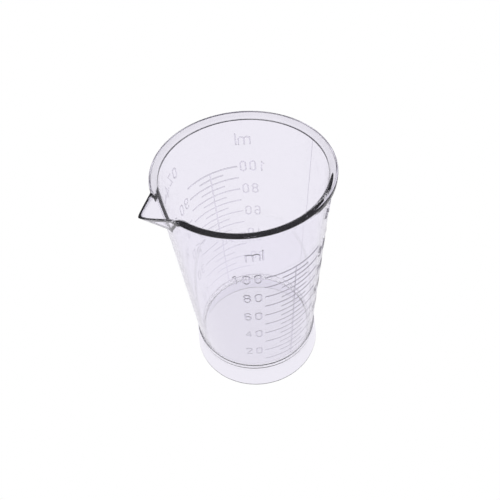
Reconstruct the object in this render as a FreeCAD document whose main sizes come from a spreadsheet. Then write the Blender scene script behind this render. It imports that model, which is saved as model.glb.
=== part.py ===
import FreeCAD, Part
import os
from math import atan2, cos, degrees, pi, radians, sin

import Sketcher

# Moulded measuring beaker. Millimetres. The origin is on the cup's axis, on the plane that the foot
# stands on, with +Z up. The spout points along -X, and the two ml scales face -Y (front) and +Y (back).

doc = FreeCAD.newDocument("beaker")
sheet = doc.addObject("Spreadsheet::Sheet", "sizes")

driving_sizes = {
    # cup
    "total_height": 91.7,
    "wall_base_radius": 22.3,  # outside, carried down to the standing plane
    "wall_top_radius": 27.6,  # outside, at the mouth
    "wall_thickness": 1.4,
    "floor_level": 11.0,  # inside of the floor, where 0 ml is
    "floor_thickness": 1.5,
    "floor_corner": 1.6,
    # foot
    "foot_height": 12.0,
    "foot_base_radius": 24.6,
    "foot_top_radius": 23.6,
    "foot_thickness": 0.8,
    "foot_edge": 0.35,
    # rim
    "rim_outer_radius": 28.8,
    "rim_height": 2.6,
    "rim_edge": 0.8,
    # spout
    "spout_reach": 35.4,
    "spout_drop": 11.5,
    "spout_half_angle": 21.2,  # from the spout's middle to its root on the wall
    "spout_tip_width": 1.6,
    "spout_thickness": 1.2,
    "keel_length": 0.6,  # of the small flat that each pyramid ends in at its foot
    "keel_inset": 0.1,  # how far that flat reaches into the wall
    "channel_rise": 2.04,  # foot of the channel above the foot of the spout
    "channel_inset": 7.7,  # how far inside the wall the channel's cut begins
    # raised marks
    "relief": 0.35,
    "line_width": 0.45,
    "stroke_width": 0.5,
    "long_line": 21.3,
    "short_line": 10.0,
    "numeral_width": 2.4,
    "numeral_height": 4.6,
    "numeral_pitch": 3.6,
    "numeral_gap": 1.0,
    "ml_unit_share": 0.61,  # of the way from the 100 ml line up to the rim
    "ml_unit_height": 5.2,
    "ml_unit_width": 5.6,
    "ml_unit_angle": 29.3,  # from the scale's upright line
    "oz_unit_share": 0.565,
    "oz_unit_angle": 40.5,
    "oz_numeral_angle": 49.0,
    "oz_line_angle": 57.0,
    "oz_line": 4.0,
    "millilitres_per_ounce": 29.57,
    "front_azimuth": -88,
    "back_azimuth": 88,
    # parting line
    "parting_azimuth": 0,
    "parting_width": 0.3,
    "parting_relief": 0.12,
    # how far a cutting shape runs past what it cuts
    "overrun": 1.0,
}
for row, (alias, value) in enumerate(driving_sizes.items(), start=1):
    sheet.set(f"A{row}", alias)
    sheet.set(f"B{row}", str(value))
    sheet.setAlias(f"B{row}", alias)
doc.recompute()

ten_ml_marks = range(10, 101, 10)
five_ml_marks = range(15, 96, 10)
even_numbers = range(20, 101, 20)
odd_numbers = range(10, 91, 20)
ounce_marks = range(1, 5)

slope = "((<<sizes>>.wall_top_radius - <<sizes>>.wall_base_radius) / <<sizes>>.total_height)"


def size(name):
    return f"<<sizes>>.{name}"


def value_of(expression):
    return float(sheet.evalExpression(expression))


def outer_radius(level):
    """Expression for the wall's outside radius at a level, which is an expression too."""
    return f"({size('wall_base_radius')} + {slope} * ({level}))"


def inner_radius(level):
    return f"({outer_radius(level)} - {size('wall_thickness')})"


def volume_level(millilitres):
    """Level that a volume reaches: the filled part of the tapered cup is a cut cone."""
    floor_radius = inner_radius(size("floor_level"))
    brim = f"({floor_radius} ^ 3 + 3 * {slope} * 1000 * ({millilitres}) / pi) ^ (1 / 3)"
    return f"({size('floor_level')} + ({brim} - {floor_radius}) / {slope})"


def ounce_level(ounces):
    return volume_level(f"{ounces} * {size('millilitres_per_ounce')}")


def origin_plane(body, role):
    return next(f for f in body.Origin.OriginFeatures if f.Role == role)


def add_polygon_sketch(body, name, role, corners, lift=None):
    """Closed outline with every corner's two coordinates bound to the sheet."""
    sketch = body.newObject("Sketcher::SketchObject", name)
    sketch.AttachmentSupport = [(origin_plane(body, role), "")]
    sketch.MapMode = "FlatFace"
    if lift:
        sketch.setExpression("AttachmentOffset.Base.z", lift)
    points = [FreeCAD.Vector(value_of(x), value_of(y), 0) for x, y in corners]
    count = len(points)
    for i in range(count):
        sketch.addGeometry(Part.LineSegment(points[i], points[(i + 1) % count]), False)
    for i in range(count):
        sketch.addConstraint(Sketcher.Constraint("Coincident", i, 2, (i + 1) % count, 1))
    for i, (x, y) in enumerate(corners):
        for kind, expression in (("DistanceX", x), ("DistanceY", y)):
            constraint = Sketcher.Constraint(kind, -1, 1, i, 1, value_of(expression))
            index = sketch.addConstraint(constraint)
            sketch.setExpression(f"Constraints[{index}]", expression)
    return sketch


def new_body(label):
    body = doc.addObject("PartDesign::Body", label)
    body.Label = label
    return body


def revolve(body, kind, sketch):
    """Full turn of an XZ outline about the cup's axis: a Revolution adds, a Groove cuts."""
    feature = body.newObject(f"PartDesign::{kind}", f"{body.Label}_{kind.lower()}")
    feature.Profile = sketch
    feature.ReferenceAxis = (sketch, ["V_Axis"])
    feature.Angle = 360
    sketch.Visibility = False
    return feature


def loft(body, kind, top_outline, bottom_outline, top_level, bottom_level):
    """Straight-sided pyramid between two level triangles."""
    name = f"{body.Label}_{kind.lower()}"
    top = add_polygon_sketch(body, f"{name}_top", "XY_Plane", top_outline, top_level)
    bottom = add_polygon_sketch(body, f"{name}_bottom", "XY_Plane", bottom_outline, bottom_level)
    feature = body.newObject(f"PartDesign::{kind}", name)
    feature.Profile = top
    feature.Sections = [bottom]
    feature.Ruled = True
    return feature


def turn_to_spout(body):
    """The spout's outlines are drawn on the +X side, so the body turns half round."""
    body.Placement = FreeCAD.Placement(FreeCAD.Vector(), FreeCAD.Rotation(FreeCAD.Vector(0, 0, 1), 180))


# Cup: wall, floor, foot and rim, each a full turn about the axis

top_level = size("total_height")
floor_top = size("floor_level")
floor_under = f"({size('floor_level')} - {size('floor_thickness')})"
corner_level = f"({size('floor_level')} + {size('floor_corner')})"
rim_under = f"({size('total_height')} - {size('rim_height')})"
foot_top = size("foot_height")

skirt_root = f"({inner_radius(floor_under)} + {size('floor_thickness')} / 2)"

wall = new_body("wall")
wall_outline = add_polygon_sketch(wall, "wall_outline", "XZ_Plane", [
    (inner_radius(floor_under), floor_under),
    (outer_radius(floor_under), floor_under),
    (outer_radius(top_level), top_level),
    (inner_radius(top_level), top_level),
])
revolve(wall, "Revolution", wall_outline)

floor = new_body("floor")
floor_outline = add_polygon_sketch(floor, "floor_outline", "XZ_Plane", [
    ("0", floor_under),
    (inner_radius(floor_under), floor_under),
    (inner_radius(corner_level), corner_level),
    (f"{inner_radius(floor_top)} - {size('floor_corner')}", floor_top),
    ("0", floor_top),
])
revolve(floor, "Revolution", floor_outline)

foot = new_body("foot_skirt")
foot_outline = add_polygon_sketch(foot, "foot_outline", "XZ_Plane", [
    (f"{size('foot_base_radius')} - {size('foot_thickness')}", "0"),
    (f"{size('foot_base_radius')} - {size('foot_edge')}", "0"),
    (size("foot_base_radius"), size("foot_edge")),
    (size("foot_top_radius"), f"{foot_top} - {size('foot_edge')}"),
    (f"{size('foot_top_radius')} - {size('foot_edge')}", foot_top),
    (outer_radius(foot_top), foot_top),
    (outer_radius(floor_under), floor_under),
    (inner_radius(floor_under), floor_under),
    (skirt_root, f"{floor_under} - {size('floor_thickness')}"),
])
revolve(foot, "Revolution", foot_outline)

rim = new_body("rim_bead")
rim_outline = add_polygon_sketch(rim, "rim_outline", "XZ_Plane", [
    (outer_radius(rim_under), rim_under),
    (f"{size('rim_outer_radius')} - {size('rim_edge')} / 2", rim_under),
    (size("rim_outer_radius"), f"{rim_under} + {size('rim_edge')} / 2"),
    (size("rim_outer_radius"), f"{top_level} - {size('rim_edge')}"),
    (f"{size('rim_outer_radius')} - {size('rim_edge')}", top_level),
    (outer_radius(top_level), top_level),
])
revolve(rim, "Revolution", rim_outline)

# Spout: an outer pyramid, and the channel inside it, which also opens the wall

spout_foot = f"({size('total_height')} - {size('spout_drop')})"
channel_foot = f"({spout_foot} + {size('channel_rise')})"
root_radius = f"({size('wall_top_radius')} - {size('wall_thickness')} / 2)"
root_x = f"({root_radius} * cos({size('spout_half_angle')} * 1 deg))"
root_y = f"({root_radius} * sin({size('spout_half_angle')} * 1 deg))"
tip_y = f"({size('spout_tip_width')} / 2)"
flank = f"(({root_y} - {tip_y}) / ({size('spout_reach')} - {root_x}))"
keel_x = f"({outer_radius(spout_foot)} - {size('keel_inset')})"
keel_back = f"({keel_x} - {size('keel_length')})"
keel_half_width = f"({size('keel_length')} * {flank})"
sharp_tip = f"({size('spout_reach')} + {tip_y} / {flank})"
channel_tip = f"({sharp_tip} - {size('spout_thickness')} * sqrt(1 + 1 / {flank} ^ 2))"
channel_back = f"({inner_radius(top_level)} - {size('channel_inset')})"
channel_half_width = f"(({channel_tip} - {channel_back}) * {flank})"
channel_keel = f"({inner_radius(channel_foot)} - {size('keel_inset')})"
channel_keel_back = f"({channel_keel} - {size('keel_length')})"

spout_top_outline = [
    (root_x, root_y),
    (root_x, f"-{root_y}"),
    (size("spout_reach"), f"-{tip_y}"),
    (size("spout_reach"), tip_y),
]
spout_bottom_outline = [
    (keel_back, f"{tip_y} + {keel_half_width}"),
    (keel_back, f"-{tip_y} - {keel_half_width}"),
    (keel_x, f"-{tip_y}"),
    (keel_x, tip_y),
]
channel_top_outline = [
    (channel_back, channel_half_width),
    (channel_back, f"-{channel_half_width}"),
    (channel_tip, "0"),
]
channel_bottom_outline = [
    (channel_keel_back, keel_half_width),
    (channel_keel_back, f"-{keel_half_width}"),
    (channel_keel, "0"),
]

loft(wall, "SubtractiveLoft", channel_top_outline, channel_bottom_outline, top_level, channel_foot)
loft(rim, "SubtractiveLoft", spout_top_outline, spout_bottom_outline, top_level, spout_foot)

above_cup = f"({top_level} + {size('overrun')})"

spout = new_body("spout")
loft(spout, "AdditiveLoft", spout_top_outline, spout_bottom_outline, top_level, spout_foot)
loft(spout, "SubtractiveLoft", channel_top_outline, channel_bottom_outline, top_level, channel_foot)
cup_outline = add_polygon_sketch(spout, "cup_outline", "XZ_Plane", [
    ("0", floor_top),
    (outer_radius(floor_top), floor_top),
    (outer_radius(above_cup), above_cup),
    ("0", above_cup),
])
revolve(spout, "Groove", cup_outline)

for body in (wall, rim, spout):
    turn_to_spout(body)
doc.recompute()

# Raised marks: thin skins over the wall's cone, from which lines and characters are cut


def add_cone(name, extra):
    """Solid cone over the wall's outside, larger by extra, from the foot to the rim."""
    cone = doc.addObject("Part::Cone", name)
    cone.setExpression("Radius1", f"{outer_radius(foot_top)} + {extra}")
    cone.setExpression("Radius2", f"{outer_radius(rim_under)} + {extra}")
    cone.setExpression("Height", f"{rim_under} - {foot_top}")
    cone.setExpression("Placement.Base.z", foot_top)
    return cone


def add_skin(name, relief):
    skin = doc.addObject("Part::Cut", name)
    skin.Base = add_cone(f"{name}_outside", relief)
    skin.Tool = add_cone(f"{name}_inside", "0")
    return skin


mark_skin = add_skin("mark_skin", size("relief"))
parting_skin = add_skin("parting_skin", size("parting_relief"))


def add_radial_box(name, azimuth, width, low_level, tall):
    """Box that starts on the axis and passes out through the wall at an azimuth in degrees."""
    box = doc.addObject("Part::Box", name)
    box.setExpression("Length", f"2 * {size('rim_outer_radius')}")
    box.setExpression("Width", width)
    box.setExpression("Height", tall)
    box.Placement.Rotation = FreeCAD.Rotation(FreeCAD.Vector(0, 0, 1), 1)
    box.setExpression("Placement.Rotation.Angle", azimuth)
    box.setExpression("Placement.Base.x", f"{width} / 2 * sin({azimuth} * 1 deg)")
    box.setExpression("Placement.Base.y", f"-{width} / 2 * cos({azimuth} * 1 deg)")
    box.setExpression("Placement.Base.z", low_level)
    return box


def add_lines(name, azimuth, width, levels):
    """One level line at each level, as one tool."""
    boxes = []
    for i, level in enumerate(levels, start=1):
        low = f"{level} - {size('line_width')} / 2"
        boxes.append(add_radial_box(f"{name}_box_{i}", azimuth, width, low, size("line_width")))
    lines = doc.addObject("Part::Compound", f"{name}_boxes")
    lines.Links = boxes
    return lines


def add_common(label, skin, tool):
    mark = doc.addObject("Part::Common", label)
    mark.Label = label
    mark.Base = skin
    mark.Tool = tool
    return mark


def stroke_line(start, end):
    """Straight stroke with round ends, in the character's own plane, as a solid along +Y."""
    width = value_of(size("stroke_width"))
    deep = value_of(size("rim_outer_radius"))
    begin = FreeCAD.Vector(start[0], 0, start[1])
    run = FreeCAD.Vector(end[0], 0, end[1]) - begin
    bar = Part.makeBox(run.Length, deep, width, FreeCAD.Vector(0, 0, -width / 2))
    turn = FreeCAD.Rotation(FreeCAD.Vector(0, -1, 0), degrees(atan2(run.z, run.x)))
    bar.Placement = FreeCAD.Placement(begin, turn)
    ends = [
        Part.makeCylinder(width / 2, deep, place, FreeCAD.Vector(0, 1, 0))
        for place in (begin, begin + run)
    ]
    return [bar, *ends]


def stroke_arc(centre, radius, start_angle, end_angle):
    """Round stroke from one angle to another, in degrees, counter-clockwise from the right."""
    width = value_of(size("stroke_width"))
    deep = value_of(size("rim_outer_radius"))
    middle = FreeCAD.Vector(centre[0], 0, centre[1])
    ring = Part.makeCylinder(radius + width / 2, deep, middle, FreeCAD.Vector(0, 1, 0))
    ring = ring.cut(Part.makeCylinder(radius - width / 2, deep, middle, FreeCAD.Vector(0, 1, 0)))
    if end_angle - start_angle >= 360:
        return [ring]
    reach = 3 * radius
    steps = 8
    fan = [middle]
    for i in range(steps + 1):
        angle = radians(start_angle + (end_angle - start_angle) * i / steps)
        fan.append(middle + FreeCAD.Vector(reach * cos(angle), 0, reach * sin(angle)))
    fan.append(middle)
    sector = Part.Face(Part.makePolygon(fan)).extrude(FreeCAD.Vector(0, deep, 0))
    tips = []
    for angle in (radians(start_angle), radians(end_angle)):
        tip = middle + FreeCAD.Vector(radius * cos(angle), 0, radius * sin(angle))
        tips.append(Part.makeCylinder(width / 2, deep, tip, FreeCAD.Vector(0, 1, 0)))
    return [ring.common(sector), *tips]


def join(solids):
    return solids[0].multiFuse(solids[1:]).removeSplitter() if len(solids) > 1 else solids[0]


def digit(number):
    """A numeral whose box is numeral_width by numeral_height, centred on the origin of its plane."""
    half_pen = value_of(size("stroke_width")) / 2
    side = value_of(size("numeral_width")) / 2 - half_pen
    top = value_of(size("numeral_height")) / 2 - half_pen
    upper = (0, top - side)
    lower = (0, -top + side)
    waist = top - 2 * side  # level where the upper loop of 3 and 8 ends
    hook = 20  # degrees by which an open end of 3, 5 and 6 stops short of its side
    neck = 35  # degrees that the bow of 2 runs on below its side
    bow_end = (side * cos(radians(neck)), upper[1] - side * sin(radians(neck)))
    loop = [
        *stroke_arc(lower, side, 180, 360),
        *stroke_line((-side, lower[1]), (-side, waist - side)),
        *stroke_line((side, lower[1]), (side, waist - side)),
        *stroke_arc((0, waist - side), side, 0, 180),
    ]
    strokes = {
        0: lambda: [
            *stroke_arc(upper, side, 0, 180),
            *stroke_arc(lower, side, 180, 360),
            *stroke_line((-side, lower[1]), (-side, upper[1])),
            *stroke_line((side, lower[1]), (side, upper[1])),
        ],
        1: lambda: [
            *stroke_line((side / 3, -top), (side / 3, top)),
            *stroke_line((side / 3, top), (-side / 2, top - side)),
        ],
        2: lambda: [
            *stroke_arc(upper, side, -neck, 180),
            *stroke_line(bow_end, (-side, -top)),
            *stroke_line((-side, -top), (side, -top)),
        ],
        3: lambda: [
            *stroke_arc(upper, side, -90, 180 - hook),
            *stroke_arc((0, waist - side), side, 0, 90),
            *stroke_line((side, waist - side), (side, lower[1])),
            *stroke_arc(lower, side, 180 + hook, 360),
        ],
        4: lambda: [
            *stroke_line((side / 2, -top), (side / 2, top)),
            *stroke_line((side / 2, top), (-side, -top / 3)),
            *stroke_line((-side, -top / 3), (side, -top / 3)),
        ],
        5: lambda: [
            *stroke_line((side, top), (-side, top)),
            *stroke_line((-side, top), (-side, waist - side / 2)),
            *stroke_arc((0, waist - side), side, 0, 180 - hook),
            *stroke_line((side, waist - side), (side, lower[1])),
            *stroke_arc(lower, side, 180 + hook, 360),
        ],
        6: lambda: [
            *loop,
            *stroke_line((-side, waist - side), (-side, upper[1])),
            *stroke_arc(upper, side, hook, 180),
        ],
        7: lambda: [
            *stroke_line((-side, top), (side, top)),
            *stroke_line((side, top), (-side / 3, -top)),
        ],
        8: lambda: [*loop, *stroke_arc(upper, side, 0, 360)],
    }
    if number == 9:
        six = digit(6)
        six.Placement = FreeCAD.Placement(
            FreeCAD.Vector(0, 0, 0), FreeCAD.Rotation(FreeCAD.Vector(0, 1, 0), 180)
        ).multiply(six.Placement)
        return six
    return join(strokes[number]())


def ml_unit():
    """The letters m and l side by side."""
    half_pen = value_of(size("stroke_width")) / 2
    right = value_of(size("ml_unit_width")) / 2 - half_pen
    top = value_of(size("ml_unit_height")) / 2 - half_pen
    arch = (2 * right - value_of(size("numeral_gap"))) / 4
    left = -right
    spring = top / 3 - arch
    m_strokes = [*stroke_line((left, -top), (left, top / 3))]
    for i in (0, 1):
        m_strokes += stroke_arc((left + arch * (2 * i + 1), spring), arch, 0, 180)
        m_strokes += stroke_line((left + 2 * arch * (i + 1), -top), (left + 2 * arch * (i + 1), spring))
    return [join(m_strokes), join(stroke_line((right, -top), (right, top)))]


def oz_unit():
    """The letters o and z and a full stop."""
    half_pen = value_of(size("stroke_width")) / 2
    side = value_of(size("numeral_width")) / 2 - half_pen
    top = value_of(size("numeral_height")) / 2 - half_pen
    pitch = value_of(size("numeral_pitch"))
    rise = top - side / 2
    o_strokes = [
        *stroke_arc((-pitch, rise - side), side, 0, 180),
        *stroke_arc((-pitch, -top + side), side, 180, 360),
        *stroke_line((-pitch - side, -top + side), (-pitch - side, rise - side)),
        *stroke_line((-pitch + side, -top + side), (-pitch + side, rise - side)),
    ]
    z_strokes = [
        *stroke_line((-side, rise), (side, rise)),
        *stroke_line((side, rise), (-side, -top)),
        *stroke_line((-side, -top), (side, -top)),
    ]
    stop = stroke_line((pitch / 2 + half_pen, -top), (pitch / 2 + 2 * half_pen, -top))
    return [join(o_strokes), join(z_strokes), join(stop)]


character_cache = {}


def character(number):
    if number not in character_cache:
        character_cache[number] = digit(number)
    return character_cache[number].copy()


def on_wall(solid, azimuth, level, across):
    """Moves a character from its own plane to the wall, turned to face out, across mm to the right."""
    radius = value_of(outer_radius(str(level)))
    turn = azimuth + across / radius * 180 / pi
    lift = FreeCAD.Placement(FreeCAD.Vector(0, 0, level), FreeCAD.Rotation())
    face_out = FreeCAD.Placement(FreeCAD.Vector(), FreeCAD.Rotation(FreeCAD.Vector(0, 0, 1), turn + 90))
    start = value_of(f"{size('rim_outer_radius')} + {size('overrun')}")
    back_off = FreeCAD.Placement(FreeCAD.Vector(0, -start, 0), FreeCAD.Rotation())
    moved = solid.copy()
    moved.Placement = lift.multiply(face_out).multiply(back_off).multiply(moved.Placement)
    return moved


def number_shapes(number, azimuth, level, side):
    """A number beside a long line: side -1 ends it left of the line, side 1 starts it right of it."""
    digits = [int(c) for c in str(number)]
    pitch = value_of(size("numeral_pitch"))
    half = value_of(size("numeral_width")) / 2
    start = value_of(size("long_line")) / 2 + value_of(size("numeral_gap")) + half
    shapes = []
    for i, value in enumerate(digits):
        place = start + pitch * i if side > 0 else -start - pitch * (len(digits) - 1 - i)
        shapes.append(on_wall(character(value), azimuth, level, place))
    return shapes


def add_characters(label, solids):
    """Characters cut from the skin over the wall, as one node of separate solids."""
    skin = mark_skin.Shape
    pieces = []
    for solid in solids:
        pieces += skin.common(solid).Solids
    marks = doc.addObject("Part::Feature", label)
    marks.Label = label
    marks.Shape = Part.makeCompound(pieces)
    marks.Placement = FreeCAD.Placement()
    return marks


def unit_level(share_name):
    """Level of a unit mark, between the 100 ml line and the rim."""
    top_line = volume_level(ten_ml_marks[-1])
    return value_of(f"{top_line} + {size(share_name)} * ({rim_under} - {top_line})")


def add_ml_scale(side_name):
    """Lines, upright, numerals and unit mark of one ml scale."""
    at = size(f"{side_name}_azimuth")
    azimuth = value_of(at)
    ten_levels = [volume_level(v) for v in ten_ml_marks]
    five_levels = [volume_level(v) for v in five_ml_marks]
    ten_tool = add_lines(f"{side_name}_ten_ml", at, size("long_line"), ten_levels)
    five_tool = add_lines(f"{side_name}_five_ml", at, size("short_line"), five_levels)
    ten_lines = add_common(f"{side_name}_ml_ten_lines", mark_skin, ten_tool)
    five_lines = add_common(f"{side_name}_ml_five_lines", mark_skin, five_tool)
    upright_tall = f"{ten_levels[-1]} - {foot_top}"
    upright_name = f"{side_name}_upright_box"
    upright_box = add_radial_box(upright_name, at, size("line_width"), foot_top, upright_tall)
    upright_skin = add_common(f"{side_name}_upright_skin", mark_skin, upright_box)
    all_lines = doc.addObject("Part::Compound", f"{side_name}_all_lines")
    all_lines.Links = [ten_tool, five_tool]
    upright = doc.addObject("Part::Cut", f"{side_name}_ml_upright")
    upright.Label = f"{side_name}_ml_upright"
    upright.Base = upright_skin
    upright.Tool = all_lines
    doc.recompute()
    evens = []
    for number in even_numbers:
        evens += number_shapes(number, azimuth, value_of(volume_level(number)), -1)
    odds = []
    for number in odd_numbers:
        odds += number_shapes(number, azimuth, value_of(volume_level(number)), 1)
    unit_azimuth = azimuth - value_of(size("ml_unit_angle"))
    unit = [on_wall(letter, unit_azimuth, unit_level("ml_unit_share"), 0) for letter in ml_unit()]
    return [
        ten_lines,
        five_lines,
        upright,
        add_characters(f"{side_name}_ml_even_numerals", evens),
        add_characters(f"{side_name}_ml_odd_numerals", odds),
        add_characters(f"{side_name}_ml_unit", unit),
    ]


def add_ounce_scale(side_name):
    """Unit mark, numerals and short lines of one ounce scale."""
    azimuth = value_of(size(f"{side_name}_azimuth"))
    line_azimuth = f"({size(f'{side_name}_azimuth')} + {size('oz_line_angle')})"
    levels = [ounce_level(n) for n in ounce_marks]
    tool = add_lines(f"{side_name}_ounce", line_azimuth, size("oz_line"), levels)
    lines = add_common(f"{side_name}_oz_lines", mark_skin, tool)
    doc.recompute()
    numeral_azimuth = azimuth + value_of(size("oz_numeral_angle"))
    numerals = [
        on_wall(character(n), numeral_azimuth, value_of(ounce_level(n)), 0) for n in ounce_marks
    ]
    unit_azimuth = azimuth + value_of(size("oz_unit_angle"))
    unit = [on_wall(letter, unit_azimuth, unit_level("oz_unit_share"), 0) for letter in oz_unit()]
    return [
        lines,
        add_characters(f"{side_name}_oz_numerals", numerals),
        add_characters(f"{side_name}_oz_unit", unit),
    ]


parting_tall = f"{rim_under} - {foot_top}"
parting_box = add_radial_box(
    "parting_box", size("parting_azimuth"), size("parting_width"), foot_top, parting_tall
)
parting = add_common("parting_line", parting_skin, parting_box)
doc.recompute()

nodes = [wall, floor, foot, rim, spout, parting]
for side_name in ("front", "back"):
    nodes += add_ml_scale(side_name)
    nodes += add_ounce_scale(side_name)
doc.recompute()

failed = [o.Label for o in doc.Objects if "Invalid" in o.State or "Error" in o.State]
if failed:
    raise RuntimeError(f"these objects failed: {failed}")
for node in nodes:
    if node.Shape.isNull() or not node.Shape.isValid() or not node.Shape.Solids:
        raise RuntimeError(f"{node.Label} has no valid solid")

os.makedirs("parts", exist_ok=True)
for node in nodes:
    node.Shape.exportStep(f"parts/{node.Label}.step")
    print(node.Label, len(node.Shape.Solids), "solids", round(node.Shape.Volume, 1), "mm3")
print("100 ml level", round(value_of(volume_level(100)), 2), "mm")
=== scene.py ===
import math

import bmesh
import bpy
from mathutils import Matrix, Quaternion, Vector


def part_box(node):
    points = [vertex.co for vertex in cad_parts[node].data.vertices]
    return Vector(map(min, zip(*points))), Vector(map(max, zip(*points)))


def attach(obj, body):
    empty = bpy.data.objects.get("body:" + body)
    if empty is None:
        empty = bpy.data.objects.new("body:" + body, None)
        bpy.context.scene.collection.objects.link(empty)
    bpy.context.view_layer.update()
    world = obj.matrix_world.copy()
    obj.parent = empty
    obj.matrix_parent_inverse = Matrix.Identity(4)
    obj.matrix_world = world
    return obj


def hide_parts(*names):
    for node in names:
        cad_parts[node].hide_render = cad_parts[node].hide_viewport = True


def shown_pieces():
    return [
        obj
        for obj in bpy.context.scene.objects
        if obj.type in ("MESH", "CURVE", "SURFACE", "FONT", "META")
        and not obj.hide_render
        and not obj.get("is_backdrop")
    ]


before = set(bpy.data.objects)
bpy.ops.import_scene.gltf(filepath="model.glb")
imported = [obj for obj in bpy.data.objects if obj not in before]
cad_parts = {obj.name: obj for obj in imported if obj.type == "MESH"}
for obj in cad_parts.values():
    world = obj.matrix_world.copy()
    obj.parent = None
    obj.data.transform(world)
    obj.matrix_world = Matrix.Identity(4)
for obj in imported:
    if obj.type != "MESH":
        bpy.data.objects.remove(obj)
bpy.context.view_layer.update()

print("frame loaded:", len(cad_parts), "nodes")

# Everything is in metres. Dictionaries hold millimetres and degrees, and mm() turns lengths.


def mm(length):
    return length / 1000


def pick(obj):
    bpy.ops.object.select_all(action="DESELECT")
    obj.select_set(True)
    bpy.context.view_layer.objects.active = obj


bpy.ops.object.select_all(action="DESELECT")

# camera

cameraSet = {
    "distance": 249.2,      # from the foot's centre
    "standsAt": 240.4,      # degrees round from +X
    "height": 57.3,         # degrees above the table, seen from the foot's centre
    "looksDown": 49.3,
    "roll": -5.04,
    "lens": 42.07,
}


def makeCamera(c):
    around, up = math.radians(c["standsAt"]), math.radians(c["height"])
    flat = Vector((math.cos(around), math.sin(around), 0))
    place = mm(c["distance"]) * (flat * math.cos(up) + Vector((0, 0, math.sin(up))))
    down = math.radians(c["looksDown"])
    look = -flat * math.cos(down) - Vector((0, 0, math.sin(down)))
    bpy.ops.object.camera_add(location=place)
    cam = bpy.context.object
    cam.rotation_mode = "QUATERNION"
    roll = Quaternion((0, 0, 1), math.radians(c["roll"]))
    cam.rotation_quaternion = look.to_track_quat("-Z", "Y") @ roll
    cam.data.lens = c["lens"]
    bpy.context.scene.camera = cam


makeCamera(cameraSet)
print("camera placed")

# sizes read from the frame

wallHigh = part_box("wall")[1]
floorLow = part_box("floor")[0]
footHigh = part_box("foot_skirt")[1]
rimLow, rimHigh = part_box("rim_bead")
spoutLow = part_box("spout")[0]

cupTop = wallHigh.z
wallTopRadius = wallHigh.y
rimRadius = rimHigh.y
rimUnder = rimLow.z
floorUnder = floorLow.z
footTop = footHigh.z
footRadius = footHigh.y
spoutReach = -spoutLow.x
spoutFoot = spoutLow.z
near = mm(0.02)          # points nearer than this to a surface count as lying on it

cupSet = {
    "baseRadius": 22.3,     # the wall's cone carried down to the table
    "thickness": 1.4,
    "floorThickness": 1.5,
    "floorCorner": 1.6,
    "innerLip": 1.2,        # rounding at the mouth's inner edge
    "outerLip": 0.55,       # rounding at the bead's top outer edge
    "beadUnder": 1.1,       # rounding at the bead's lower edge
    "stepAngle": 2.0,       # degrees from one spun outline to the next
    "sharpAngle": 35.0,     # degrees: edges that turn more than this stay sharp
}
wallSlope = (wallTopRadius - mm(cupSet["baseRadius"])) / cupTop
floorLevel = floorUnder + mm(cupSet["floorThickness"])


def outerRadius(level):
    return mm(cupSet["baseRadius"]) + wallSlope * level


def innerRadius(level):
    return outerRadius(level) - mm(cupSet["thickness"])


def volumeLevel(millilitres):
    # level that a volume reaches in the tapered cup
    r = innerRadius(floorLevel)
    brim = (r ** 3 + 3 * wallSlope * millilitres * 1e-6 / math.pi) ** (1 / 3)
    return floorLevel + (brim - r) / wallSlope


# materials


def toLinear(hexColour):
    parts = [int(hexColour[i:i + 2], 16) / 255 for i in (1, 3, 5)]
    return [c / 12.92 if c <= 0.04045 else ((c + 0.055) / 1.055) ** 2.4 for c in parts] + [1]


def addNode(tree, kind, settings=None, links=None):
    # adds a node, sets its values or properties, and links its inputs to other nodes' outputs
    node = tree.nodes.new(kind)
    for key, value in (settings or {}).items():
        if key in node.inputs:
            node.inputs[key].default_value = value
        else:
            setattr(node, key, value)
    for key, (source, output) in (links or {}).items():
        tree.links.new(source.outputs[output], node.inputs[key])
    return node


def newMaterial(name):
    mat = bpy.data.materials.new(name)
    mat.use_nodes = True
    mat.node_tree.nodes.clear()
    return mat, mat.node_tree


clearSet = {
    "tint": "#faf9fd",      # general-purpose polystyrene has a faint cool cast
    "markShadeTint": "#f6f4fa",  # painted shade: a greyer tint stands in for the darkness that refraction gives at the marks' small rounded edges
    "ior": 1.53,
    "clarity": 0.984,       # the rest is the faint milkiness that shows where light is trapped
    "rough": (0.0, 0.02),
    "waveRange": (0.35, 0.75),  # the part of the waves' height that the roughness follows
    "waveLength": 14.0,     # slow sink and flow waves left by the mould
    "waveHeight": 0.004,
}


def clearPolystyrene(name, tint, c):
    # injection-moulded clear polystyrene from a polished mould: glossy, faintly wavy, tinted by the given
    # colour (a cool cast, and for the marks a greyer one that is painted shade)
    mat, tree = newMaterial(name)
    place = addNode(tree, "ShaderNodeTexCoord")
    waves = addNode(tree, "ShaderNodeTexNoise", {"Scale": 1 / mm(c["waveLength"]), "Detail": 1.0},
                    {"Vector": (place, "Object")})
    low, high = c["waveRange"]
    haze = addNode(tree, "ShaderNodeMapRange", {"From Min": low, "From Max": high,
                   "To Min": c["rough"][0], "To Max": c["rough"][1]}, {"Value": (waves, "Fac")})
    bump = addNode(tree, "ShaderNodeBump", {"Strength": 1.0, "Distance": mm(c["waveHeight"])},
                   {"Height": (waves, "Fac")})
    skin = addNode(tree, "ShaderNodeBsdfPrincipled",
                   {"Base Color": toLinear(tint), "IOR": c["ior"], "Transmission Weight": c["clarity"]},
                   {"Roughness": (haze, "Result"), "Normal": (bump, "Normal")})
    addNode(tree, "ShaderNodeOutputMaterial", links={"Surface": (skin, "BSDF")})
    return mat


def jointFaces():
    # where two regions of the moulding meet the plastic runs on, so light goes straight through
    mat, tree = newMaterial("joinedPolystyrene")
    through = addNode(tree, "ShaderNodeBsdfTransparent")
    addNode(tree, "ShaderNodeOutputMaterial", links={"Surface": (through, "BSDF")})
    return mat


clearMat = clearPolystyrene("clearPolystyrene", clearSet["tint"], clearSet)
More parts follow.
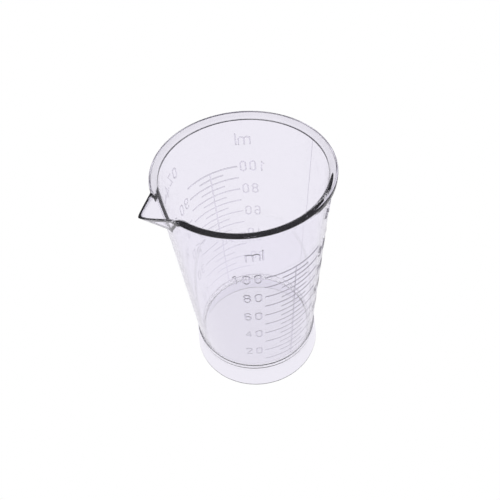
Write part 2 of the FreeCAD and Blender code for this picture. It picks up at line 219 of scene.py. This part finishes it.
# the marks get the greyer tint: painted shade in place of the darkness their edges give by refraction
markMat = clearPolystyrene("clearPolystyreneMarks", clearSet["markShadeTint"], clearSet)
jointMat = jointFaces()
print("materials made")

# cup: outlines drawn point by point, then spun about the axis


def arc(centre, radius, start, end, steps):
    # points of a round corner or stroke, from one angle to another in degrees
    return [(centre[0] + radius * math.cos(math.radians(start + (end - start) * i / steps)),
             centre[1] + radius * math.sin(math.radians(start + (end - start) * i / steps)))
            for i in range(steps + 1)]


def wallRun(radiusAt, low, high, steps):
    # points along a wall face, evenly spaced
    levels = [low + (high - low) * i / steps for i in range(steps + 1)]
    return [(radiusAt(level), level) for level in levels]


def spinRing(name, outline, start=0.0, sweep=360.0, steps=0):
    # a closed outline of (radius, level) points, spun round from start through sweep degrees
    steps = steps or round(sweep / cupSet["stepAngle"])
    turn = Quaternion((0, 0, 1), math.radians(start))
    points = [turn @ Vector((r, 0, z)) for r, z in outline]
    bpy.ops.mesh.primitive_plane_add(size=mm(1))
    ring = bpy.context.object
    ring.name = name
    bpy.ops.object.mode_set(mode="EDIT")
    bpy.ops.mesh.select_all(action="SELECT")
    bpy.ops.mesh.merge(type="CENTER")
    bpy.ops.transform.translate(value=points[0])
    for i, point in enumerate(points):
        following = points[(i + 1) % len(points)]
        bpy.ops.mesh.extrude_region_move(TRANSFORM_OT_translate={"value": following - point})
    bpy.ops.mesh.select_all(action="SELECT")
    bpy.ops.mesh.remove_doubles(threshold=near / 10)
    if sweep < 360:
        bpy.ops.mesh.edge_face_add()    # the end face that the sweep starts from
    bpy.ops.mesh.select_all(action="SELECT")
    bpy.ops.mesh.spin(steps=steps, angle=math.radians(sweep), center=(0, 0, 0), axis=(0, 0, -1))
    bpy.ops.mesh.select_all(action="SELECT")
    bpy.ops.mesh.remove_doubles(threshold=near / 10)
    bpy.ops.mesh.normals_make_consistent(inside=False)
    bpy.ops.object.mode_set(mode="OBJECT")
    return ring


def finishPiece(piece, node, material, isJoint=None):
    # materials, shading and place in the frame; isJoint picks the faces that meet another region
    # (a mark that meets other marks already has both its materials)
    if len(piece.data.materials) < 2:
        piece.data.materials.clear()
        piece.data.materials.append(material)
    if isJoint:
        piece.data.materials.append(jointMat)
        for face in piece.data.polygons:
            r = math.hypot(face.center.x, face.center.y)
            face.material_index = 1 if isJoint(r, face.center.z, face) else 0
    pick(piece)
    bpy.ops.object.shade_smooth_by_angle(angle=math.radians(cupSet["sharpAngle"]))
    bpy.ops.object.modifier_add(type="WEIGHTED_NORMAL")     # long faces stay true, small ones turn
    piece.modifiers[-1].keep_sharp = True
    bpy.ops.object.modifier_apply(modifier=piece.modifiers[-1].name)
    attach(piece, "root")
    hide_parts(*node)


def joinAll(pieces, name):
    pick(pieces[0])
    for piece in pieces[1:]:
        piece.select_set(True)
    if len(pieces) > 1:
        bpy.ops.object.join()
    pieces[0].name = name
    return pieces[0]


spoutSet = {
    "halfSector": 28.0,     # degrees of wall either side that belong to the spout piece
    "sectorFoot": 77.5,     # level where the spout piece begins
    "flankAngle": 41.0,     # between each flank and the spout's middle, seen from above
    "tipRound": 0.02,       # share of the reach
    "foldRadius": 0.7,
    "beadFade": 1.0,        # the rim bead is gone where the flanks stand this far out
    "sideFade": 4.0,        # degrees, at each side of the sector, in which the flanks set in
    "footFade": 1.5,        # height above the sector's foot in which they set in
    "slices": 112,
    "levels": 26,
}
sectorFoot = mm(spoutSet["sectorFoot"])
spoutAzimuth = 180.0
restStart = spoutAzimuth + spoutSet["halfSector"]       # the rest of the rim, from the sector's end
restSweep = 360 - 2 * spoutSet["halfSector"]


def beadRun():
    # the bead's outside, from its underside to the mouth
    under, edge = mm(cupSet["beadUnder"]), mm(cupSet["outerLip"])
    return (arc((rimRadius - under, rimUnder + under), under, -90, 0, 10)
            + arc((rimRadius - edge, cupTop - edge), edge, 0, 90, 10))


def insideRun(low, steps):
    # the mouth's inner lip and the inside of the wall, downwards
    lip = mm(cupSet["innerLip"])
    wallTop = cupTop - lip * 1.3    # a little below the end of the rounding
    return (arc((innerRadius(cupTop) + lip, cupTop - lip), lip, 90, 180, 8)
            + wallRun(innerRadius, wallTop, low, steps))


def rimOutline(low, steps):
    # wall and bead above a level, as one closed outline
    return wallRun(outerRadius, low, rimUnder, steps) + beadRun() + insideRun(low, steps)


def wallOutlineAbove(low, steps):
    # the same without the bead
    return wallRun(outerRadius, low, rimUnder, steps) + [(wallTopRadius, cupTop)] + insideRun(low, steps)


def beadOutline():
    return [(outerRadius(rimUnder), rimUnder)] + beadRun() + [(wallTopRadius, cupTop)]


def makeWall():
    thick = mm(cupSet["thickness"])
    cornerTop = floorLevel + mm(cupSet["floorCorner"])
    lower = [(innerRadius(floorUnder), floorUnder), (outerRadius(floorUnder), floorUnder),
             (outerRadius(footTop), footTop), (outerRadius(sectorFoot), sectorFoot),
             (innerRadius(sectorFoot), sectorFoot), (innerRadius(cornerTop), cornerTop)]
    lowerRing = spinRing("wall_lower", lower)
    upperRing = spinRing("wall_upper", wallOutlineAbove(sectorFoot, 2), restStart, restSweep)
    wall = joinAll([lowerRing, upperRing], "cup_wall")

    def isJoint(r, z, face):
        atEnds = abs(face.normal.z) < 0.2 and abs(r - outerRadius(z) + thick / 2) < thick * 0.3
        underFoot = z < footTop and r > innerRadius(z) + near
        byFloor = z < cornerTop and r < innerRadius(z) + near
        underBead = z > rimUnder and r > outerRadius(z) - near
        across = abs(z - sectorFoot) < near and abs(face.normal.z) > 0.9
        return underFoot or byFloor or underBead or across or atEnds

    finishPiece(wall, ["wall"], clearMat, isJoint)


def makeRimBead():
    bead = spinRing("mouth_bead", beadOutline(), restStart, restSweep)

    def isJoint(r, z, face):
        inside = r < outerRadius(z) + near
        acrossEnd = abs(face.normal.z) < 0.01 and len(face.vertices) > 4
        return inside or acrossEnd

    finishPiece(bead, ["rim_bead"], clearMat, isJoint)


def softAbove(value, radius):
    # nought below, the value above, with a rounded turn between
    if abs(value) > radius:
        return max(0.0, value)
    return (value + radius) ** 2 / (4 * radius)


def drawOutSpout(s, spout):
    # pulls the wall outwards to two straight flanks that meet in a rounded keel
    flank = math.tan(math.radians(s["flankAngle"]))
    tip = spoutReach * (1 + s["tipRound"] / flank)
    for vertex in spout.data.vertices:
        r, z = math.hypot(vertex.co.x, vertex.co.y), vertex.co.z
        turned = math.pi - abs(math.atan2(vertex.co.y, vertex.co.x))
        share = (z - spoutFoot) / (cupTop - spoutFoot)
        keel = outerRadius(spoutFoot) + (tip - outerRadius(spoutFoot)) * share
        across = math.sqrt(math.sin(turned) ** 2 + s["tipRound"] ** 2)
        flankRadius = keel * flank / (across + math.cos(turned) * flank)
        rise = softAbove(flankRadius - outerRadius(z), mm(s["foldRadius"]))
        fadeSide = min(1.0, (math.radians(s["halfSector"]) - turned) / math.radians(s["sideFade"]))
        fadeFoot = min(1.0, (z - sectorFoot) / mm(s["footFade"]))
        rise *= max(0.0, fadeSide) * max(0.0, fadeFoot)
        bead = max(0.0, r - outerRadius(z)) * (1 - min(1.0, rise / mm(s["beadFade"])))
        newRadius = min(spoutReach, min(r, outerRadius(z)) + bead + rise)
        vertex.co.x *= newRadius / r
        vertex.co.y *= newRadius / r


def makeSpout(s):
    spout = spinRing("pouring_spout", rimOutline(sectorFoot, s["levels"]), spoutAzimuth - s["halfSector"],
                     2 * s["halfSector"], s["slices"])

    def isJoint(z, face):
        acrossEnd = len(face.vertices) > 4
        across = abs(z - sectorFoot) < near and abs(face.normal.z) > 0.9
        return acrossEnd or across

    # picked before the faces are pulled out of their places
    joints = {face.index for face in spout.data.polygons if isJoint(face.center.z, face)}
    drawOutSpout(s, spout)
    finishPiece(spout, ["spout"], clearMat, lambda r, z, face: face.index in joints)


def makeFloor():
    corner = mm(cupSet["floorCorner"])
    r = innerRadius(floorLevel)
    outline = ([(0, floorUnder), (innerRadius(floorUnder), floorUnder),
                (innerRadius(floorLevel + corner), floorLevel + corner)]
               + arc((r - corner, floorLevel + corner), corner, -10, -90, 8) + [(0, floorLevel)])
    plate = spinRing("cup_floor", outline)

    def isJoint(r, z, face):
        return r > innerRadius(z) - near

    finishPiece(plate, ["floor"], clearMat, isJoint)


footSet = {
    "thickness": 0.8,       # at the free edge that the cup stands on
    "topRadius": 23.6,      # of the ledge round the wall
    "edge": 0.35,
}


def makeFoot(s):
    edge, thick, topRadius = mm(s["edge"]), mm(s["thickness"]), mm(s["topRadius"])
    under = mm(cupSet["floorThickness"])
    shoulder = topRadius - outerRadius(footTop)
    outline = ([(footRadius - thick, 0)] + arc((footRadius - edge, edge), edge, -90, 0, 4)
               + arc((topRadius - shoulder, footTop - shoulder), shoulder, 0, 90, 8)
               + [(outerRadius(floorUnder), floorUnder),
                  (innerRadius(floorUnder), floorUnder)]
               + arc((innerRadius(floorUnder), floorUnder - under), under / 2, 90, 0, 5)[1:])
    skirt = spinRing("hollow_foot", outline)

    def isJoint(r, z, face):
        return r < outerRadius(z) + near and z > floorUnder - near

    finishPiece(skirt, ["foot_skirt"], clearMat, isJoint)


makeWall()
makeRimBead()
makeSpout(spoutSet)
makeFloor()
makeFoot(footSet)
print("cup made")

# raised marks: laid out flat, as on a sheet, then wrapped round the wall

markSet = {
    "sunk": 0.03,           # the marks' backs lie this far inside the wall, so no air is left between
    "relief": 0.23,
    "edgeShare": 0.45,      # of the relief, rounded off the lines' edges
    "uprightShare": 0.9,    # of the lines' relief
    "footShare": {"front": 0.28, "back": 0.1},   # of the relief, left at the floor
    "lineWidth": 0.45,
    "longLine": 21.3,
    "shortLine": 10.0,
    "numeralPitch": 3.6,
    "numeralGap": 1.0,
    "unitShare": 0.61,      # of the way from the 100 ml line up to the rim
    "unitAngle": 29.3,
    "ozUnitShare": 0.565,
    "ozUnitAngle": 40.5,
    "ozNumeralAngle": 49.0,
    "ozLineAngle": 57.0,
    "ozLine": 4.0,
    "ounce": 29.57,         # millilitres
}
scaleAzimuths = {"front": -88.0, "back": 88.0}


def unitLevel(share):
    topLine = volumeLevel(100)
    return topLine + share * (rimUnder - topLine)


def flatBar(length, width, cuts, roundEnds=True, crossing=None):
    # a bar along X with rounded top edges, cut into short lengths so that it can wrap,
    # and on both sides of the place where another bar crosses it
    relief = mm(markSet["relief"])
    bpy.ops.mesh.primitive_cube_add(size=1, location=(0, 0, relief / 2))
    bar = bpy.context.object
    bar.scale = (length, width, relief)
    bpy.ops.object.transform_apply(location=True, rotation=False, scale=True)
    bpy.ops.object.mode_set(mode="EDIT")
    bpy.ops.mesh.select_all(action="DESELECT")
    bm = bmesh.from_edit_mesh(bar.data)
    for edge in bm.edges:
        isTop = all(v.co.z > relief / 2 for v in edge.verts)
        isLong = abs(edge.verts[0].co.x - edge.verts[1].co.x) > length / 2
        edge.select = isTop and (isLong or roundEnds)
    bmesh.update_edit_mesh(bar.data)
    bpy.ops.mesh.bevel(offset=relief * markSet["edgeShare"], segments=3, profile=0.5)
    bpy.ops.mesh.select_all(action="DESELECT")
    bm = bmesh.from_edit_mesh(bar.data)
    for edge in bm.edges:
        edge.select = abs(edge.verts[0].co.x - edge.verts[1].co.x) > length / 2
    bmesh.update_edit_mesh(bar.data)
    bpy.ops.mesh.subdivide(number_cuts=cuts)
    for x in (-crossing / 2, crossing / 2) if crossing else ():
        bpy.ops.mesh.select_all(action="SELECT")
        bpy.ops.mesh.bisect(plane_co=(x, 0, 0), plane_no=(1, 0, 0))
    bpy.ops.object.mode_set(mode="OBJECT")
    if crossing:
        markJoints(bar, lambda c: abs(c.x) < crossing / 2 and abs(abs(c.y) - width / 2) < near / 10)
    return bar


def markJoints(mark, isMet):
    # the faces where marks meet get the second material, which light goes straight through
    mark.data.materials.append(markMat)
    mark.data.materials.append(jointMat)
    for face in mark.data.polygons:
        face.material_index = 1 if isMet(face.center) else 0


# characters: each is a few round-pen strokes in millimetres, centred on the origin

penSet = {
    "stroke": 0.5,
    "numberWidth": 2.4,
    "numberHeight": 4.6,
    "unitWidth": 5.6,
    "unitHeight": 5.2,
    "letterGap": 1.0,
    "hook": 20,             # degrees by which an open end of 3, 5 and 6 stops short
    "neck": 35,             # degrees that the bow of 2 runs on below its side
    "grain": 0.075,         # size of the cells that the strokes are melted together in
}


def numberStrokes(p):
    side = (p["numberWidth"] - p["stroke"]) / 2
    top = (p["numberHeight"] - p["stroke"]) / 2
    upper, lower = top - side, -top + side
    waist = top - 3 * side          # centre of the lower loop's upper bow
    hook, neck = p["hook"], p["neck"]
    loop = arc((0, waist), side, 0, 180, 12) + arc((0, lower), side, 180, 360, 12)
    loop.append(loop[0])
    belly = arc((0, waist), side, 90, 0, 8) + arc((0, lower), side, 0, -180 + hook, 14)
    ring = arc((0, upper), side, 0, 180, 12) + arc((0, lower), side, 180, 360, 12)
    ring.append(ring[0])
    six = [loop, [(-side, waist)] + arc((0, upper), side, 180, hook, 12)]
    return {
        "0": [ring],
        "1": [[(side / 3, -top), (side / 3, top), (-side / 2, top - side)]],
        "2": [arc((0, upper), side, 180, -neck, 16) + [(-side, -top), (side, -top)]],
        "3": [arc((0, upper), side, 180 - hook, -90, 18), belly],
        "4": [[(side / 2, -top), (side / 2, top), (-side, -top / 3), (side, -top / 3)]],
        "5": [[(side, top), (-side, top), (-side, waist + side / 2)]
              + arc((0, waist), side, 180 - hook, 90, 8), belly],
        "6": six,
        "7": [[(-side, top), (side, top), (-side / 3, -top)]],
        "8": [loop, arc((0, upper), side, 0, 360, 24)],
        "9": [[(-x, -y) for x, y in stroke] for stroke in six],
    }


def letterStrokes(p):
    side = (p["numberWidth"] - p["stroke"]) / 2
    top = (p["numberHeight"] - p["stroke"]) / 2
    right, high = (p["unitWidth"] - p["stroke"]) / 2, (p["unitHeight"] - p["stroke"]) / 2
    arch = (2 * right - p["letterGap"]) / 4
    spring = high / 3 - arch
    m = [[(-right, -high), (-right, high / 3)]]
    for i in (0, 1):
        m.append(arc((-right + arch * (2 * i + 1), spring), arch, 180, 0, 12)
                 + [(-right + 2 * arch * (i + 1), -high)])
    rise = top - side / 2
    shift = markSet["numeralPitch"]
    o = arc((-shift, rise - side), side, 0, 180, 12) + arc((-shift, -top + side), side, 180, 360, 12)
    z = [(-side, rise), (side, rise), (-side, -top), (side, -top)]
    stop = [(shift / 2 + p["stroke"] / 2, -top), (shift / 2 + p["stroke"], -top)]
    return {"ml": m + [[(right, -high), (right, high)]], "oz.": [o + [o[0]], z, stop]}


def meltCharacter(name, strokes, p):
    # round tubes along the strokes, melted into one skin, and halved so that the back is flat
    curve = bpy.data.curves.new(name, "CURVE")
    curve.dimensions = "3D"
    curve.bevel_depth = p["stroke"] / 2
    curve.bevel_resolution = 3
    curve.use_fill_caps = True
    for stroke in strokes:
        spline = curve.splines.new("POLY")
        spline.points.add(len(stroke) - 1)
        for point, (x, y) in zip(spline.points, stroke):
            point.co = (x, y, 0, 1)
    letter = bpy.data.objects.new(name, curve)
    bpy.context.collection.objects.link(letter)
    pick(letter)
    bpy.ops.object.convert(target="MESH")
    letter.data.remesh_voxel_size = p["grain"]
    bpy.ops.object.voxel_remesh()
    bpy.ops.object.mode_set(mode="EDIT")
    bpy.ops.mesh.select_all(action="SELECT")
    bpy.ops.mesh.vertices_smooth(factor=0.5, repeat=2)
    bpy.ops.mesh.bisect(plane_co=(0, 0, 0), plane_no=(0, 0, 1), use_fill=True, clear_inner=True)
    bpy.ops.mesh.select_all(action="SELECT")
    bpy.ops.mesh.normals_make_consistent(inside=False)
    bpy.ops.object.mode_set(mode="OBJECT")
    high = max(v.co.z for v in letter.data.vertices)
    for v in letter.data.vertices:
        v.co = (mm(v.co.x), mm(v.co.y), v.co.z / high * mm(markSet["relief"]))
    return letter


def makeCharacters(p):
    strokes = {**numberStrokes(p), **letterStrokes(p)}
    return {sign: meltCharacter(f"pattern_{i}", lines, p)
            for i, (sign, lines) in enumerate(strokes.items())}


patterns = makeCharacters(penSet)


def character(sign):
    copy = patterns[sign].copy()
    copy.data = patterns[sign].data.copy()
    bpy.context.collection.objects.link(copy)
    return copy


def wrapOnWall(mark, azimuth, level, across=0.0):
    # flat x becomes distance round the wall, y becomes height, z stands out from it,
    # and the marks grow shallower towards the floor
    radius = outerRadius(level)
    left = markSet["footShare"]["back" if math.sin(math.radians(azimuth)) > 0 else "front"]
    for v in mark.data.vertices:
        angle = math.radians(azimuth) + (v.co.x + across) / radius
        z = level + v.co.y
        share = (z - floorLevel) / (volumeLevel(100) - floorLevel)
        depth = left + (1 - left) * share * abs(share)
        r = outerRadius(z) - mm(markSet["sunk"]) + v.co.z * min(1.0, depth)
        v.co = (r * math.cos(angle), r * math.sin(angle), z)
    return mark


def numberMarks(number, azimuth, level, side):
    # digits beside a long line: side -1 ends them left of it, side 1 starts them right of it
    digits = str(number)
    pitch = mm(markSet["numeralPitch"])
    start = mm(markSet["longLine"] / 2 + markSet["numeralGap"] + penSet["numberWidth"] / 2)
    marks = []
    for i, digit in enumerate(digits):
        place = start + pitch * i if side > 0 else -start - pitch * (len(digits) - 1 - i)
        marks.append(wrapOnWall(character(digit), azimuth, level, place))
    return marks


def finishMarks(pieces, name, node):
    mark = joinAll(pieces, name)
    finishPiece(mark, [node], markMat)


def makeScale(side, azimuth):
    width = mm(markSet["lineWidth"])
    tens = [volumeLevel(v) for v in range(10, 101, 10)]
    fives = [volumeLevel(v) for v in range(15, 96, 10)]
    longLength, shortLength, ozLength = (mm(markSet[key]) for key in ("longLine", "shortLine", "ozLine"))
    longBars = [wrapOnWall(flatBar(longLength, width, 23, crossing=width), azimuth, z) for z in tens]
    finishMarks(longBars, f"{side}_long_lines", f"{side}_ml_ten_lines")
    shortBars = [wrapOnWall(flatBar(shortLength, width, 11, crossing=width), azimuth, z) for z in fives]
    finishMarks(shortBars, f"{side}_short_lines", f"{side}_ml_five_lines")
    stops = sorted([footTop] + tens + fives)
    uprights = []
    for low, high in zip(stops, stops[1:]):
        start = low + width / 2 if low > footTop else low
        end = high - width / 2
        rod = flatBar(end - start, width, 1, roundEnds=False)
        markJoints(rod, lambda c: abs(abs(c.x) - (end - start) / 2) < near / 10)
        for v in rod.data.vertices:
            v.co.x, v.co.y, v.co.z = -v.co.y, v.co.x, v.co.z * markSet["uprightShare"]
        uprights.append(wrapOnWall(rod, azimuth, (start + end) / 2))
    finishMarks(uprights, f"{side}_upright", f"{side}_ml_upright")
    evens = [m for n in range(20, 101, 20) for m in numberMarks(n, azimuth, volumeLevel(n), -1)]
    finishMarks(evens, f"{side}_even_numbers", f"{side}_ml_even_numerals")
    odds = [m for n in range(10, 91, 20) for m in numberMarks(n, azimuth, volumeLevel(n), 1)]
    finishMarks(odds, f"{side}_odd_numbers", f"{side}_ml_odd_numerals")
    unit = wrapOnWall(character("ml"), azimuth - markSet["unitAngle"], unitLevel(markSet["unitShare"]))
    finishMarks([unit], f"{side}_ml_letters", f"{side}_ml_unit")
    ounces = [volumeLevel(n * markSet["ounce"]) for n in range(1, 5)]
    linesAt, numbersAt = azimuth + markSet["ozLineAngle"], azimuth + markSet["ozNumeralAngle"]
    finishMarks([wrapOnWall(flatBar(ozLength, width, 5), linesAt, z) for z in ounces],
                f"{side}_ounce_lines", f"{side}_oz_lines")
    finishMarks([wrapOnWall(character(str(i)), numbersAt, z) for i, z in enumerate(ounces, start=1)],
                f"{side}_ounce_numbers", f"{side}_oz_numerals")
    unit = wrapOnWall(character("oz."), azimuth + markSet["ozUnitAngle"], unitLevel(markSet["ozUnitShare"]))
    finishMarks([unit], f"{side}_oz_letters", f"{side}_oz_unit")


partingSet = {
    "azimuth": 0.0,
    "width": 0.3,
    "reliefShare": 0.35,    # of the marks' relief
}


def makePartingLine(s):
    rod = flatBar(rimUnder - footTop, mm(s["width"]), 1)
    for v in rod.data.vertices:
        v.co.x, v.co.y, v.co.z = -v.co.y, v.co.x, v.co.z * s["reliefShare"]
    finishMarks([wrapOnWall(rod, s["azimuth"], (rimUnder + footTop) / 2)], "mould_line", "parting_line")


for side, azimuth in scaleAzimuths.items():
    makeScale(side, azimuth)
    print(side, "scale made")
makePartingLine(partingSet)
for pattern in patterns.values():
    bpy.data.objects.remove(pattern)

# studio

studioSet = {
    "seen": "#ffffff",          # paper and room as the camera sees them directly
    "near": "#f4f2f8",          # what they give the plastic to show
    "roomHigh": "#55535b",
    "roomTop": "#3c3b42",
    "rises": (0.08, 0.35, 0.70),    # of near, roomHigh and roomTop: 0 is the horizon, 1 overhead
    "tableSize": 12.0,              # metres
    "lamps": {                      # place and width in metres, power in watts: only a faint gleam
        "left": ((-0.55, -0.25, 0.55), 0.50, 0.2),
        "right": ((0.45, -0.35, 0.6), 0.40, 0.12),
    },
    "bounces": 32,                  # light runs a long way inside the rim before it comes out
}


def splitByView(tree, direct, other):
    # one colour for what the camera sees directly, another for all other light
    path = addNode(tree, "ShaderNodeLightPath")
    both = addNode(tree, "ShaderNodeMix", {"data_type": "RGBA"})
    tree.links.new(path.outputs["Is Camera Ray"], both.inputs[0])
    if isinstance(other, tuple):
        tree.links.new(other[0].outputs[other[1]], both.inputs[6])
    else:
        both.inputs[6].default_value = other
    both.inputs[7].default_value = direct
    return both


def makeTable(s):
    justUnder = -mm(0.05)       # so that the foot doesn't share a plane with the table
    bpy.ops.mesh.primitive_plane_add(size=s["tableSize"], location=(0, 0, justUnder))
    table = bpy.context.object
    table.name = "table"
    mat, tree = newMaterial("litPaper")
    both = splitByView(tree, toLinear(s["seen"]), toLinear(s["near"]))
    paper = addNode(tree, "ShaderNodeEmission")
    tree.links.new(both.outputs[2], paper.inputs["Color"])
    addNode(tree, "ShaderNodeOutputMaterial", links={"Surface": (paper, "Emission")})
    table.data.materials.append(mat)
    table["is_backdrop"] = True


def makeRoom(s):
    world = bpy.data.worlds.new("softRoom")
    bpy.context.scene.world = world
    world.use_nodes = True
    tree = world.node_tree
    tree.nodes.clear()
    place = addNode(tree, "ShaderNodeTexCoord")
    split = addNode(tree, "ShaderNodeSeparateXYZ", links={"Vector": (place, "Generated")})
    ramp = addNode(tree, "ShaderNodeValToRGB", links={"Fac": (split, "Z")})
    stops = ramp.color_ramp.elements
    low, middle, high = s["rises"]
    stops[0].position, stops[0].color = low, toLinear(s["near"])
    stops[1].position, stops[1].color = high, toLinear(s["roomTop"])
    stops.new(middle).color = toLinear(s["roomHigh"])
    both = splitByView(tree, toLinear(s["seen"]), (ramp, "Color"))
    sky = addNode(tree, "ShaderNodeBackground", {"Strength": 1.0})
    tree.links.new(both.outputs[2], sky.inputs["Color"])
    addNode(tree, "ShaderNodeOutputWorld", links={"Surface": (sky, "Background")})


def makeLamps(s):
    for name, (place, width, power) in s["lamps"].items():
        bpy.ops.object.light_add(type="AREA", location=place)
        lamp = bpy.context.object
        lamp.name = f"softbox_{name}"
        lamp.data.size = width
        lamp.data.energy = power
        lamp.rotation_mode = "QUATERNION"
        lamp.rotation_quaternion = (-lamp.location).to_track_quat("-Z", "Y")


makeTable(studioSet)
makeRoom(studioSet)
makeLamps(studioSet)
scene = bpy.context.scene
scene.view_settings.view_transform = "Standard"
scene.cycles.max_bounces = studioSet["bounces"]
scene.cycles.transmission_bounces = studioSet["bounces"]
scene.cycles.transparent_max_bounces = 2 * studioSet["bounces"]
scene.cycles.caustics_refractive = False
scene.cycles.caustics_reflective = False
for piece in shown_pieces():
    piece.visible_shadow = False    # clear plastic on lit paper throws next to no shadow
print("studio made")
